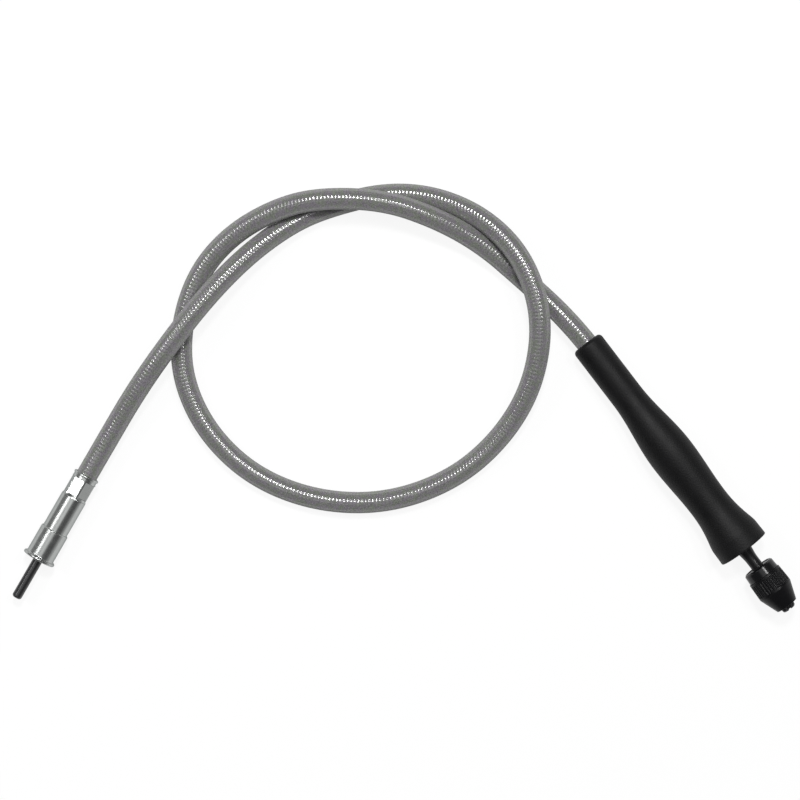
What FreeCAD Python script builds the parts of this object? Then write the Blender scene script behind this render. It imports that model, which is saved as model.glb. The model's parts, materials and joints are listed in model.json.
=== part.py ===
"""Flexible drive shaft with a handpiece, lying in a loose loop on a bench.

Millimetres. +Z is up from the bench, +X runs from the drive end towards the handpiece, and the
origin lies on the bench under the middle of the two rigid ends. A 6 mm drive pin turns in a plated
fitting, a wound core carries the turning through the hose, and a spindle on two ball bearings in
the grip ends in a keyless three-jaw chuck.
"""
import FreeCAD, Part
import math
import os

os.makedirs("parts", exist_ok=True)
V = FreeCAD.Vector

# Clearances, radial or between faces
SEAT_GAP = 0.05          # a piece seated in another that it doesn't move in
RUN_GAP = 0.05           # a shaft, ball or jaw in what guides it
FREE_GAP = 0.3           # moving pieces that must not meet
END_GAP = 0.15           # faces of pieces that turn against each other

# Hose: outer sheath, wound steel liner and wound core
HOSE_D = 13.0
SHEATH_WALL = 1.4
LINER_D = 9.4
LINER_WALL = 1.2
CORE_D = 5.0

# Where the two ends lie: the mouth of each on the bench plan, and the way its axis points
DRIVE_MOUTH = (-191.2, -1.1)
DRIVE_YAW = 239.95
GRIP_REAR = (111.4, 79.1)
GRIP_YAW = -52.76
GRIP_LIFT = 0.06         # the swells' lowest lines lie a little beside their widest places
DRIVE_STRAIGHT = 27.8    # hose that leaves the drive fitting straight
GRIP_STRAIGHT = 19.0     # hose that leaves the grip straight
# The hose's way between them: over, under and over itself, round the loop, then under, over, under
ROUTE = [
    (-162, 48, 15.5), (-145, 73, 20.6), (-121, 104, 20.6), (-96, 131, 14.5), (-70, 150.5, 8.2),
    (-47, 161.5, 6.6), (-10, 171, 6.6), (23, 168, 9.5), (53, 153, 16.2), (74, 128, 21.2),
    (84, 93, 21.2), (79, 55, 15.5), (61, 23, 8.5), (32, -3, 6.6), (-8, -18, 6.6),
    (-50, -17, 6.6), (-89, -3, 6.6), (-118, 23, 6.6), (-134, 56, 6.6), (-135, 89, 6.6),
    (-125, 121, 8.4), (-105, 144, 12.6), (-78, 159.5, 18), (-51, 166.5, 20.6), (-12, 165, 20.6),
    (20, 154, 17.5), (48, 139, 10.5), (74, 118, 6.6),
]
ARC_SHARE = 0.45         # share of the shorter run that an arc takes up

# Drive fitting, measured along its axis from the mouth
FERRULE_D = 16.0
LIP_LENGTH = 1.5
LIP_ROUND = 0.5
NECK_LENGTH = 2.0
NECK_D = 15.0
HEX_ACROSS = 14.0
HEX_LEAN = -15.0         # degrees that the top flat leans from level
HEX_LENGTH = 10.3
HEX_RUN_OUT = 2.0
FERRULE_LENGTH = 38.6    # the part that shows
SHEATH_IN_FERRULE = 3.0
LINER_IN_FERRULE = 30.0
LINER_STOP = 2.0
SPIGOT_D = 14.4
SPIGOT_LENGTH = 8.0
SLEEVE_D = 17.6
SLEEVE_LENGTH = 20.1
SLEEVE_CHAMFER = 0.4
FLANGE_D = 20.4
FLANGE_THICK = 1.9
FLANGE_ROUND = 0.8
FLANGE_FLARE = 0.9
BUSH_D = 11.0
BUSH_LENGTH = 8.2
END_WALL = 1.7           # closes the sleeve in front of the bush
WASHER_THICK = 1.0

# Drive spindle
PIN_D = 6.0
PIN_OUT = 27.0           # pin beyond the flange
PIN_ROUND = 1.5
JOURNAL_D = 8.0
COLLAR_D = 9.6
COLLAR_THICK = 3.0
TAIL_D = 8.0
CORE_SOCKET = 6.5        # depth of the core's socket, here and in the coupling
SOCKET_FLOOR = 2.0
CORE_GAP = 0.1           # round the core in its sockets

# Grip, measured along its axis from its rear face
GRIP_LENGTH = 156.4
GRIP_REAR_D = 20.1
GRIP_REAR_ROUND = 2.7
SWELL_START = 40.0
BULGE_AT = 85.2
BULGE_D = 27.9
WAIST_AT = 121.5
WAIST_D = 24.8
SHOULDER_LENGTH = 8.9    # nearly straight stretch behind the front
SHOULDER_D = 31.9
GRIP_FRONT_D = 32.3
GRIP_FRONT_ROUND = 0.6
SWELL_EASE = 0.36        # share of a swell's length over which it leaves or ends level
WAIST_EASE = 0.56        # the same where the waist begins to rise
SHOULDER_EASE = 0.17     # the same where it reaches the shoulder

# Inside the grip
SOCKET_AT = 12.0         # rear end of the hose socket
SOCKET_WALL = 1.6
SHEATH_IN_GRIP = 34.0
SOCKET_FLANGE = 4.0
HOUSING_AT = 66.0        # rear end of the housing tube, on the socket's flange
HOUSING_WALL = 1.3
LINER_IN_GRIP = 70.0
REAR_BEARING_AT = 84.0
CUP_D = 13.0             # room round the coupling
CUP_RELIEF = 4.0         # wider mouth of that room, beside the bearing
COUPLING_D = 9.2
COUPLING_LENGTH = 11.5
COUPLING_WEB = 1.0
CAP_DEPTH = 6.2
CAP_D = 25.8
CAP_RISE = 0.8
CAP_CROWN_D = 16.0       # flat middle of the domed cap
CAP_CROWN_ROUND = 25.0
CLIP_EDGE = 1.5          # housing tube left in front of the snap ring
CLIP_THICK = 1.2
CLIP_GROOVE = 0.6
CLIP_WIDTH = 1.8
CLIP_EYE_D = 3.0
CLIP_EYE_HOLE = 1.2
SHIM_THICK = 0.8
SEAL_THICK = 2.4
SEAL_D = 17.0
SPACER_WALL = 1.1

# Ball bearings, both alike
BEARING_BORE = 7.0
BEARING_D = 19.0
BEARING_WIDTH = 6.0
BALL_D = 3.2
BALL_COUNT = 7
RACE_LAND = 1.0          # from the balls' pitch circle to each ring's land
CAGE_WALL = 0.9
CAGE_WIDTH = 4.2
POCKET_GAP = 0.08

# Handpiece spindle
STEM_D = 7.6
STEM_FLARE_D = 9.4
STEM_FLARE_LENGTH = 8.7
STEM_FLARE_ROUND = 60.0
STEM_OUT = 14.0          # stem between the grip and the chuck's body
SPINDLE_TAIL_D = 5.0
NOSE_D = 6.3             # screwed into the chuck
NOSE_LENGTH = 8.3

# Chuck, measured along its axis from the rear face of its collar
BODY_INSET = 0.4
CHUCK_COLLAR_LENGTH = 6.2
CHUCK_COLLAR_REAR_D = 19.7
CHUCK_COLLAR_FRONT_D = 20.3
CHUCK_COLLAR_BEVEL = 0.9
BODY_REAR_D = 16.0
BODY_D = 17.8
GROOVE_TO_NOSE = 14.4    # from the rear of the groove round the body, for the nut, to the nose
GROOVE_LENGTH = 5.0
GROOVE_BITE = 0.8        # how far the groove bares the jaws
BODY_NOSE_REAR_D = 16.0
BODY_NOSE_D = 11.7
CHUCK_LENGTH = 29.0
SLEEVE_REAR_D = 21.5
SLEEVE_FRONT_D = 22.2
CONE_LENGTH = 11.5
SLEEVE_NOSE_D = 13.8
CAVITY_D = 18.8
NUT_SPLIT = 0.3
THRUST_THICK = 0.7
SHANK_BORE_D = 4.0
SHANK_BORE_DEPTH = 17.0
SCREW_DEPTH = 9.0
RIB_COUNT = 36
RIB_CUTTER_D = 1.3
RIB_DEPTH = 0.4
RIB_RIM = 1.2            # plain rim left at each end of the ribs

# Jaws
JAW_COUNT = 3
JAW_D = 4.6
JAW_LEAN = 12.0          # degrees between a jaw and the chuck's axis
JAW_LENGTH = 19.0
JAW_OUT = 2.7            # tips beyond the chuck's nose
JAW_TIP_OFFSET = 2.0     # from the chuck's axis to a jaw's own axis at its tip
JAW_APEX = 0.85          # from the chuck's axis to the edge of a jaw's wedge
JAW_BACK = 3.0           # how far a jaw slides back to open
JAW_TIP_BEVEL = 0.7
THREAD_PITCH = 1.0
THREAD_COUNT = 8
THREAD_DEPTH = 0.3
SHANK_D = 2.35           # tool shank that the jaws hold at rest

# Places that follow from those sizes
NECK_END = LIP_LENGTH + NECK_LENGTH
HEX_END = NECK_END + HEX_LENGTH
SPIGOT_END = FERRULE_LENGTH + SPIGOT_LENGTH
SLEEVE_END = FERRULE_LENGTH + SLEEVE_LENGTH
BUSH_AT = SLEEVE_END - END_WALL - BUSH_LENGTH
COLLAR_END = BUSH_AT - WASHER_THICK - END_GAP
COLLAR_AT = COLLAR_END - COLLAR_THICK
TAIL_AT = COLLAR_AT - SOCKET_FLOOR - CORE_SOCKET
HOUSING_BORE = BEARING_D + 2 * SEAT_GAP
HOUSING_D = HOUSING_BORE + 2 * HOUSING_WALL
HOUSING_END = GRIP_LENGTH - CAP_DEPTH
SOCKET_SKIRT_D = HOSE_D + 2 * (SEAT_GAP + SOCKET_WALL)
COUPLING_AT = REAR_BEARING_AT - COUPLING_LENGTH
CLIP_AT = HOUSING_END - CLIP_EDGE - CLIP_THICK
FRONT_BEARING_AT = CLIP_AT - SHIM_THICK - BEARING_WIDTH
PITCH_D = (BEARING_BORE + BEARING_D) / 2
CHUCK_AT = GRIP_LENGTH + STEM_OUT - BODY_INSET
GROOVE_AT = CHUCK_LENGTH - GROOVE_TO_NOSE
GROOVE_END = GROOVE_AT + GROOVE_LENGTH
SLEEVE_CONE_AT = CHUCK_LENGTH - CONE_LENGTH
SLEEVE_AT = CHUCK_COLLAR_LENGTH + END_GAP
NUT_AT = GROOVE_AT + THRUST_THICK + END_GAP
NUT_END = GROOVE_END - END_GAP
JAW_TIP = CHUCK_LENGTH + JAW_OUT


# Outlines and simple turned shapes

def corner(before, at, after, radius):
    """Both tangent points and, between them, the middle of the arc that rounds a corner."""
    back = (before - at).normalize()
    ahead = (after - at).normalize()
    half_angle = back.getAngle(ahead) / 2
    tangent = radius / math.tan(half_angle)
    inward = (back + ahead).normalize()
    middle = at + inward * (radius / math.sin(half_angle) - radius)
    return at + back * tangent, middle, at + ahead * tangent


def eased(start, end, leave, arrive):
    """Cubic Bezier that leaves and ends along X, over those shares of its length."""
    span = end.x - start.x
    curve = Part.BezierCurve()
    curve.setPoles([start, V(start.x + leave * span, 0, start.z), V(end.x - arrive * span, 0, end.z), end])
    return curve.toShape()


def outline(corners):
    """Closed wire through corners (along, radius, rounding, (leave, arrive) of an eased side)."""
    points = [V(c[0], 0, c[1]) for c in corners]
    arcs = []
    for i, c in enumerate(corners):
        arc = (points[i], None, points[i])
        if len(c) > 2 and c[2] > 0:
            arc = corner(points[i - 1], points[i], points[(i + 1) % len(points)], c[2])
        arcs.append(arc)
    edges = []
    for i, (first, middle, last) in enumerate(arcs):
        following = arcs[(i + 1) % len(arcs)][0]
        if middle:
            edges.append(Part.Arc(first, middle, last).toShape())
        if len(corners[i]) > 3:
            edges.append(eased(last, following, *corners[i][3]))
        elif last.distanceToPoint(following) > 1e-6:
            edges.append(Part.LineSegment(last, following).toShape())
    return Part.Wire(edges)


def turned(corners):
    """Solid turned about the X axis from a closed outline."""
    return Part.Face(outline(corners)).revolve(V(0, 0, 0), V(1, 0, 0), 360)


def rod(start, end, diameter):
    return Part.makeCylinder(diameter / 2, end - start, V(start, 0, 0), V(1, 0, 0))


def tube(start, end, bore, outer):
    return rod(start, end, outer).cut(rod(start, end, bore))


def around(shape, degrees):
    """Copy of a shape turned about the X axis."""
    copy = shape.copy()
    copy.rotate(V(0, 0, 0), V(1, 0, 0), degrees)
    return copy


def moved(shape, along):
    """Copy of a shape moved along the X axis."""
    copy = shape.copy()
    copy.translate(V(along, 0, 0))
    return copy


# Where the two rigid ends lie

def drive_place():
    """The drive fitting lies level on the rim of its flange."""
    turn = FreeCAD.Rotation(V(0, 0, 1), DRIVE_YAW)
    return FreeCAD.Placement(V(DRIVE_MOUTH[0], DRIVE_MOUTH[1], FLANGE_D / 2), turn)


def grip_place():
    """The grip lies on its bulge and its shoulder, so it tips up a little towards the chuck."""
    reach = GRIP_LENGTH - SHOULDER_LENGTH - BULGE_AT
    tilt = math.atan((SHOULDER_D - BULGE_D) / 2 / reach)
    height = BULGE_D / 2 * math.cos(tilt) - BULGE_AT * math.sin(tilt) + GRIP_LIFT
    turn = FreeCAD.Rotation(V(0, 0, 1), GRIP_YAW)
    tip = FreeCAD.Rotation(V(0, 1, 0), -math.degrees(tilt))
    return FreeCAD.Placement(V(GRIP_REAR[0], GRIP_REAR[1], height), turn.multiply(tip))


# Hose

def hose_points():
    """The route from the fitting's mouth to the grip's rear, straight out of each end."""
    drive = drive_place()
    grip = grip_place()
    points = [drive.multVec(V(0, 0, 0)), drive.multVec(V(-DRIVE_STRAIGHT, 0, 0))]
    points += [V(*p) for p in ROUTE]
    points += [grip.multVec(V(-GRIP_STRAIGHT, 0, 0)), grip.multVec(V(0, 0, 0))]
    return points


def hose_radii(points):
    """Radius of each inner point's arc: a share of its shorter run over the half turn's tangent."""
    radii = []
    for before, at, after in zip(points, points[1:], points[2:]):
        run = min(at.distanceToPoint(before), after.distanceToPoint(at))
        half_turn = (at - before).getAngle(after - at) / 2
        radii.append(ARC_SHARE * run / math.tan(half_turn))
    return radii


def hose_path(in_drive, in_grip):
    """Straight runs joined by tangent arcs, carried on straight into both ends."""
    points = hose_points()
    last = drive_place().multVec(V(in_drive, 0, 0))
    edges = []
    for i, radius in enumerate(hose_radii(points)):
        first, middle, end = corner(points[i], points[i + 1], points[i + 2], radius)
        edges.append(Part.LineSegment(last, first).toShape())
        edges.append(Part.Arc(first, middle, end).toShape())
        last = end
    edges.append(Part.LineSegment(last, grip_place().multVec(V(in_grip, 0, 0))).toShape())
    return Part.Wire(edges)


def along_hose(in_drive, in_grip, diameter, bore=0):
    """Round section, solid or bored, swept along the hose's path."""
    path = hose_path(in_drive, in_grip)
    start = drive_place().multVec(V(in_drive, 0, 0))
    heading = drive_place().Rotation.multVec(V(-1, 0, 0))

    def swept(size):
        ring = Part.Wire([Part.makeCircle(size / 2, start, heading)])
        return path.makePipeShell([ring], True, False)

    solid = swept(diameter)
    if bore:
        solid = solid.cut(swept(bore))
    section = math.pi / 4 * (diameter ** 2 - bore ** 2)
    print(f"{diameter} mm layer, {path.Length:.1f} mm long, volume over section times length",
          round(solid.Volume / (section * path.Length), 4))
    return solid


def hose_sheath():
    return along_hose(SHEATH_IN_FERRULE, SHEATH_IN_GRIP, HOSE_D, HOSE_D - 2 * SHEATH_WALL)


def hose_liner():
    return along_hose(LINER_IN_FERRULE, LINER_IN_GRIP, LINER_D, LINER_D - 2 * LINER_WALL)


def drive_core():
    """Wound core, from the drive spindle's socket to the coupling's."""
    return along_hose(TAIL_AT + END_GAP, COUPLING_AT + CORE_SOCKET - END_GAP, CORE_D)


# Drive fitting

def hex_bar(start, end):
    """Hexagonal bar with its top flat leaning as the fitting lies."""
    radius = HEX_ACROSS / math.sqrt(3)
    angles = [math.radians(HEX_LEAN + 30 + 60 * i) for i in range(7)]
    ring = Part.makePolygon([V(start, radius * math.sin(a), radius * math.cos(a)) for a in angles])
    return Part.Face(ring).extrude(V(end - start, 0, 0))


def hose_ferrule():
    """Holds the hose's end: a lip, wrench flats that run out into a round body, and a spigot."""
    outer = FERRULE_D / 2
    seat = LINER_D / 2 + SEAT_GAP
    pocket = HOSE_D / 2 + SEAT_GAP
    core_way = CORE_D / 2 + FREE_GAP
    chamber = TAIL_D / 2 + FREE_GAP
    collar_room = COLLAR_D / 2 + FREE_GAP
    stop = LINER_IN_FERRULE + LINER_STOP
    step = COLLAR_AT - END_GAP
    flats_end = HEX_END + HEX_RUN_OUT
    head = turned([(0, 0), (0, outer, LIP_ROUND), (LIP_LENGTH, outer, LIP_ROUND),
                   (LIP_LENGTH, NECK_D / 2), (NECK_END, NECK_D / 2), (NECK_END, 0)])
    flats = hex_bar(NECK_END, flats_end).common(rod(NECK_END, flats_end, FERRULE_D))
    body = turned([(HEX_END, 0), (HEX_END, HEX_ACROSS / 2), (flats_end, outer), (FERRULE_LENGTH, outer),
                   (FERRULE_LENGTH, SPIGOT_D / 2), (SPIGOT_END, SPIGOT_D / 2), (SPIGOT_END, 0)])
    inside = turned([(-1, 0), (-1, pocket), (SHEATH_IN_FERRULE, pocket), (SHEATH_IN_FERRULE, seat),
                     (LINER_IN_FERRULE, seat), (LINER_IN_FERRULE, core_way), (stop, core_way),
                     (stop, chamber), (step, chamber), (step, collar_room),
                     (SPIGOT_END + 1, collar_room), (SPIGOT_END + 1, 0)])
    return head.fuse([flats, body]).removeSplitter().cut(inside)


def drive_sleeve():
    """Plated sleeve over the ferrule's spigot, with a seat for the bush and a flange at its end."""
    spigot = SPIGOT_D / 2 + SEAT_GAP
    seat = BUSH_D / 2 + SEAT_GAP
    outer = SLEEVE_D / 2
    flange = FLANGE_D / 2
    flange_at = SLEEVE_END - FLANGE_THICK
    way = JOURNAL_D / 2 + FREE_GAP
    return turned([(FERRULE_LENGTH, spigot), (FERRULE_LENGTH, outer - SLEEVE_CHAMFER),
                   (FERRULE_LENGTH + SLEEVE_CHAMFER, outer), (flange_at, outer, FLANGE_FLARE),
                   (flange_at, flange, FLANGE_ROUND), (SLEEVE_END, flange, FLANGE_ROUND),
                   (SLEEVE_END, way), (SLEEVE_END - END_WALL, way), (SLEEVE_END - END_WALL, seat),
                   (BUSH_AT, seat), (BUSH_AT, spigot)])


def drive_bush():
    return tube(BUSH_AT, BUSH_AT + BUSH_LENGTH, JOURNAL_D + 2 * RUN_GAP, BUSH_D)


def drive_thrust_washer():
    """Washer between the spindle's collar and the bush, in the same bore as the spigot."""
    return tube(BUSH_AT - WASHER_THICK, BUSH_AT, JOURNAL_D + 2 * FREE_GAP, SPIGOT_D)


def drive_spindle():
    """Pin that the driving machine grips, journal, collar, and a socket for the core."""
    step = SLEEVE_END - END_WALL / 2
    socket = CORE_D / 2 + CORE_GAP
    floor = TAIL_AT + CORE_SOCKET
    return turned([(TAIL_AT, socket), (TAIL_AT, TAIL_D / 2), (COLLAR_AT, TAIL_D / 2),
                   (COLLAR_AT, COLLAR_D / 2), (COLLAR_END, COLLAR_D / 2), (COLLAR_END, JOURNAL_D / 2),
                   (step, JOURNAL_D / 2), (step, PIN_D / 2), (SLEEVE_END + PIN_OUT, PIN_D / 2, PIN_ROUND),
                   (SLEEVE_END + PIN_OUT, 0), (floor, 0), (floor, socket)])


# Handpiece

def grip():
    """Moulded grip: slim behind, a bulge for the palm, a waist for the fingers and a wide front."""
    rear = GRIP_REAR_D / 2
    swell = (SWELL_EASE, SWELL_EASE)
    outside = turned([(0, 0), (0, rear, GRIP_REAR_ROUND), (SWELL_START, rear, 0, swell),
                      (BULGE_AT, BULGE_D / 2, 0, swell),
                      (WAIST_AT, WAIST_D / 2, 0, (WAIST_EASE, SHOULDER_EASE)),
                      (GRIP_LENGTH - SHOULDER_LENGTH, SHOULDER_D / 2),
                      (GRIP_LENGTH, GRIP_FRONT_D / 2, GRIP_FRONT_ROUND), (GRIP_LENGTH, 0)])
    bores = [rod(-1, SOCKET_AT + 1, HOSE_D + 2 * FREE_GAP),
             rod(SOCKET_AT, HOUSING_AT, SOCKET_SKIRT_D + 2 * SEAT_GAP),
             rod(HOUSING_AT - SOCKET_FLANGE, GRIP_LENGTH, HOUSING_D + 2 * SEAT_GAP),
             rod(HOUSING_END, GRIP_LENGTH + 1, CAP_D + 2 * SEAT_GAP)]
    return outside.cut(bores)


def hose_socket():
    """Holds the sheath and the liner; its flange stops in the grip and its spigot in the housing."""
    flange_at = HOUSING_AT - SOCKET_FLANGE
    sheath = HOSE_D / 2 + SEAT_GAP
    liner = LINER_D / 2 + SEAT_GAP
    core_way = CORE_D / 2 + FREE_GAP
    stop = COUPLING_AT - FREE_GAP
    mouth = BEARING_D / 2 - SPACER_WALL
    return turned([(SOCKET_AT, sheath), (SOCKET_AT, SOCKET_SKIRT_D / 2), (flange_at, SOCKET_SKIRT_D / 2),
                   (flange_at, HOUSING_D / 2), (HOUSING_AT, HOUSING_D / 2), (HOUSING_AT, BEARING_D / 2),
                   (REAR_BEARING_AT, BEARING_D / 2), (REAR_BEARING_AT, mouth),
                   (REAR_BEARING_AT - CUP_RELIEF, mouth), (REAR_BEARING_AT - CUP_RELIEF, CUP_D / 2),
                   (stop, CUP_D / 2), (stop, core_way), (LINER_IN_GRIP, core_way), (LINER_IN_GRIP, liner),
                   (SHEATH_IN_GRIP, liner), (SHEATH_IN_GRIP, sheath)])


def housing_tube():
    """Steel tube round both bearings, with a groove for the snap ring."""
    bore = HOUSING_BORE / 2
    groove = bore + CLIP_GROOVE
    return turned([(HOUSING_AT, bore), (HOUSING_AT, HOUSING_D / 2), (HOUSING_END, HOUSING_D / 2),
                   (HOUSING_END, bore), (CLIP_AT + CLIP_THICK, bore), (CLIP_AT + CLIP_THICK, groove),
                   (CLIP_AT, groove), (CLIP_AT, bore)])


def front_cap():
    """Slightly domed cap in the grip's front, with a recess behind for the seal."""
    way = STEM_FLARE_D / 2 + FREE_GAP
    recess = SEAL_D / 2 + SEAT_GAP
    crown = GRIP_LENGTH + CAP_RISE
    seal_end = HOUSING_END + SEAL_THICK
    return turned([(HOUSING_END, recess), (HOUSING_END, CAP_D / 2), (GRIP_LENGTH, CAP_D / 2),
                   (crown, CAP_CROWN_D / 2, CAP_CROWN_ROUND), (crown, way), (seal_end, way),
                   (seal_end, recess)])


def dust_seal():
    return tube(HOUSING_END, HOUSING_END + SEAL_THICK, STEM_FLARE_D + 2 * FREE_GAP, SEAL_D)


def retaining_ring():
    """Open snap ring with an eye at each end for the pliers."""
    outer = HOUSING_BORE / 2 + CLIP_GROOVE - SEAT_GAP
    inner = outer - CLIP_WIDTH
    gap = Part.makeBox(CLIP_THICK, CLIP_EYE_D, outer, V(CLIP_AT, -CLIP_EYE_D / 2, 0))
    ring = tube(CLIP_AT, CLIP_AT + CLIP_THICK, 2 * inner, 2 * outer).cut(gap)
    eye = Part.makeCylinder(CLIP_EYE_D / 2, CLIP_THICK, V(CLIP_AT, 0, inner), V(1, 0, 0))
    hole = Part.makeCylinder(CLIP_EYE_HOLE / 2, CLIP_THICK, V(CLIP_AT, 0, inner), V(1, 0, 0))
    aside = math.degrees(math.asin(CLIP_EYE_D / inner))
    for turn in (-aside, aside):
        ring = ring.fuse(around(eye, turn)).cut(around(hole, turn))
    return ring.removeSplitter()


def shim_washer():
    start = FRONT_BEARING_AT + BEARING_WIDTH
    return tube(start, start + SHIM_THICK, BEARING_D - 2 * SPACER_WALL, BEARING_D)


def outer_spacer():
    """Keeps the bearings' outer rings apart."""
    return tube(REAR_BEARING_AT + BEARING_WIDTH, FRONT_BEARING_AT, BEARING_D - 2 * SPACER_WALL, BEARING_D)


def inner_spacer():
    """Keeps the bearings' inner rings apart."""
    outer = BEARING_BORE + 2 * SPACER_WALL
    return tube(REAR_BEARING_AT + BEARING_WIDTH, FRONT_BEARING_AT, BEARING_BORE, outer)


def spindle():
    """Shaft through both bearings, with a flared stem and a nose that screws into the chuck."""
    tail_at = COUPLING_AT + CORE_SOCKET + COUPLING_WEB
    shaft = BEARING_BORE / 2 - SEAT_GAP
    shoulder = FRONT_BEARING_AT + BEARING_WIDTH
    body_at = CHUCK_AT + BODY_INSET
    return turned([(tail_at, 0), (tail_at, SPINDLE_TAIL_D / 2), (REAR_BEARING_AT, SPINDLE_TAIL_D / 2),
                   (REAR_BEARING_AT, shaft), (shoulder, shaft), (shoulder, STEM_FLARE_D / 2),
                   (GRIP_LENGTH, STEM_FLARE_D / 2),
                   (GRIP_LENGTH + STEM_FLARE_LENGTH, STEM_D / 2, STEM_FLARE_ROUND),
                   (body_at, STEM_D / 2), (body_at, NOSE_D / 2), (body_at + NOSE_LENGTH, NOSE_D / 2),
                   (body_at + NOSE_LENGTH, 0)])


def core_coupling():
    """Short sleeve that joins the core to the spindle's tail."""
    socket = rod(COUPLING_AT, COUPLING_AT + CORE_SOCKET, CORE_D + 2 * CORE_GAP)
    tail_at = COUPLING_AT + CORE_SOCKET + COUPLING_WEB
    tail_socket = rod(tail_at, REAR_BEARING_AT, SPINDLE_TAIL_D + 2 * SEAT_GAP)
    return rod(COUPLING_AT, REAR_BEARING_AT, COUPLING_D).cut([socket, tail_socket])


# Ball bearings, each from its rear face

def race():
    """The way that the balls roll in, cut from both rings."""
    middle = V(BEARING_WIDTH / 2, 0, 0)
    return Part.makeTorus(PITCH_D / 2, BALL_D / 2 + RUN_GAP, middle, V(1, 0, 0))


def bearing_outer_ring():
    return tube(0, BEARING_WIDTH, PITCH_D + 2 * RACE_LAND, BEARING_D).cut(race())


def bearing_inner_ring():
    return tube(0, BEARING_WIDTH, BEARING_BORE, PITCH_D - 2 * RACE_LAND).cut(race())


def balls(diameter):
    """A ring of separate balls."""
    first = Part.makeSphere(diameter / 2, V(BEARING_WIDTH / 2, 0, PITCH_D / 2))
    return [around(first, 360 * i / BALL_COUNT) for i in range(BALL_COUNT)]


def bearing_cage():
    """Ring with a pocket round each ball."""
    rim = (BEARING_WIDTH - CAGE_WIDTH) / 2
    ring = tube(rim, BEARING_WIDTH - rim, PITCH_D - CAGE_WALL, PITCH_D + CAGE_WALL)
    return ring.cut(balls(BALL_D + 2 * POCKET_GAP))


# Chuck, from the rear face of its collar

def jaw_angles():
    """Two jaws show from above and the third is underneath."""
    return [180 + 360 * i / JAW_COUNT for i in range(JAW_COUNT)]


def jaw_radius(along):
    """From the chuck's axis to the outermost line of a jaw."""
    lean = math.radians(JAW_LEAN)
    return JAW_TIP_OFFSET + (JAW_TIP - along) * math.tan(lean) + JAW_D / 2 / math.cos(lean)


def nose_radius(along):
    """The body's conical nose."""
    share = (along - GROOVE_END) / (CHUCK_LENGTH - GROOVE_END)
    return (BODY_NOSE_REAR_D + share * (BODY_NOSE_D - BODY_NOSE_REAR_D)) / 2


def sleeve_radius(along):
    """The sleeve's outside, behind its cone."""
    share = (along - SLEEVE_AT) / (SLEEVE_CONE_AT - SLEEVE_AT)
    return (SLEEVE_REAR_D + share * (SLEEVE_FRONT_D - SLEEVE_REAR_D)) / 2


def slanted_rod(diameter, length, ahead):
    """Rod on a jaw's own axis, from a little ahead of the jaw's tip back."""
    lean = math.radians(JAW_LEAN)
    back = V(-math.cos(lean), 0, math.sin(lean))
    start = V(JAW_TIP, 0, JAW_TIP_OFFSET) - back * ahead
    return Part.makeCylinder(diameter / 2, length + ahead, start, back)


def chuck_body():
    """Steel body with a groove for the nut and three slanted bores for the jaws."""
    rear = BODY_REAR_D / 2
    outer = BODY_D / 2
    solid = turned([(BODY_INSET, 0), (BODY_INSET, rear), (CHUCK_COLLAR_LENGTH, rear),
                    (CHUCK_COLLAR_LENGTH, outer), (GROOVE_AT, outer),
                    (GROOVE_AT, jaw_radius(GROOVE_AT) - GROOVE_BITE),
                    (GROOVE_END, jaw_radius(GROOVE_END) - GROOVE_BITE),
                    (GROOVE_END, nose_radius(GROOVE_END)), (CHUCK_LENGTH, BODY_NOSE_D / 2),
                    (CHUCK_LENGTH, 0)])
    screw = rod(BODY_INSET, BODY_INSET + SCREW_DEPTH, NOSE_D + 2 * SEAT_GAP)
    shank = rod(CHUCK_LENGTH - SHANK_BORE_DEPTH, CHUCK_LENGTH, SHANK_BORE_D)
    way = slanted_rod(JAW_D + 2 * RUN_GAP, JAW_LENGTH + JAW_BACK + FREE_GAP, JAW_LENGTH / 2)
    return solid.cut([screw, shank] + [around(way, angle) for angle in jaw_angles()])


def chuck_collar():
    """Smooth collar on the rear of the body."""
    rear = CHUCK_COLLAR_REAR_D / 2
    bore = BODY_REAR_D / 2 + SEAT_GAP
    return turned([(0, bore), (0, rear - CHUCK_COLLAR_BEVEL), (CHUCK_COLLAR_BEVEL, rear),
                   (CHUCK_COLLAR_LENGTH, CHUCK_COLLAR_FRONT_D / 2), (CHUCK_COLLAR_LENGTH, bore)])


def chuck_sleeve():
    """Ribbed sleeve with a conical nose, turned by hand against the body."""
    cavity = CAVITY_D / 2
    solid = turned([(SLEEVE_AT, cavity), (SLEEVE_AT, SLEEVE_REAR_D / 2),
                    (SLEEVE_CONE_AT, SLEEVE_FRONT_D / 2), (CHUCK_LENGTH, SLEEVE_NOSE_D / 2),
                    (CHUCK_LENGTH, nose_radius(CHUCK_LENGTH) + FREE_GAP),
                    (NUT_END, nose_radius(NUT_END) + FREE_GAP), (NUT_END, cavity)])
    lift = RIB_CUTTER_D / 2 - RIB_DEPTH
    rear = SLEEVE_AT + RIB_RIM
    front = SLEEVE_CONE_AT - RIB_RIM
    first = V(rear, 0, sleeve_radius(rear) + lift)
    last = V(front, 0, sleeve_radius(front) + lift)
    cutter = Part.makeCylinder(RIB_CUTTER_D / 2, first.distanceToPoint(last), first, last - first)
    return solid.cut([around(cutter, 360 * i / RIB_COUNT) for i in range(RIB_COUNT)])


def jaw_nut():
    """Threaded ring in two halves, pressed in the sleeve, that runs on the backs of the jaws."""
    outer = CAVITY_D / 2 - SEAT_GAP
    ring = turned([(NUT_AT, jaw_radius(NUT_AT) + RUN_GAP), (NUT_AT, outer), (NUT_END, outer),
                   (NUT_END, jaw_radius(NUT_END) + RUN_GAP)])
    split = Part.makeBox(NUT_END - NUT_AT, 2 * outer, NUT_SPLIT, V(NUT_AT, -outer, -NUT_SPLIT / 2))
    return ring.cut(split)


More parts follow.
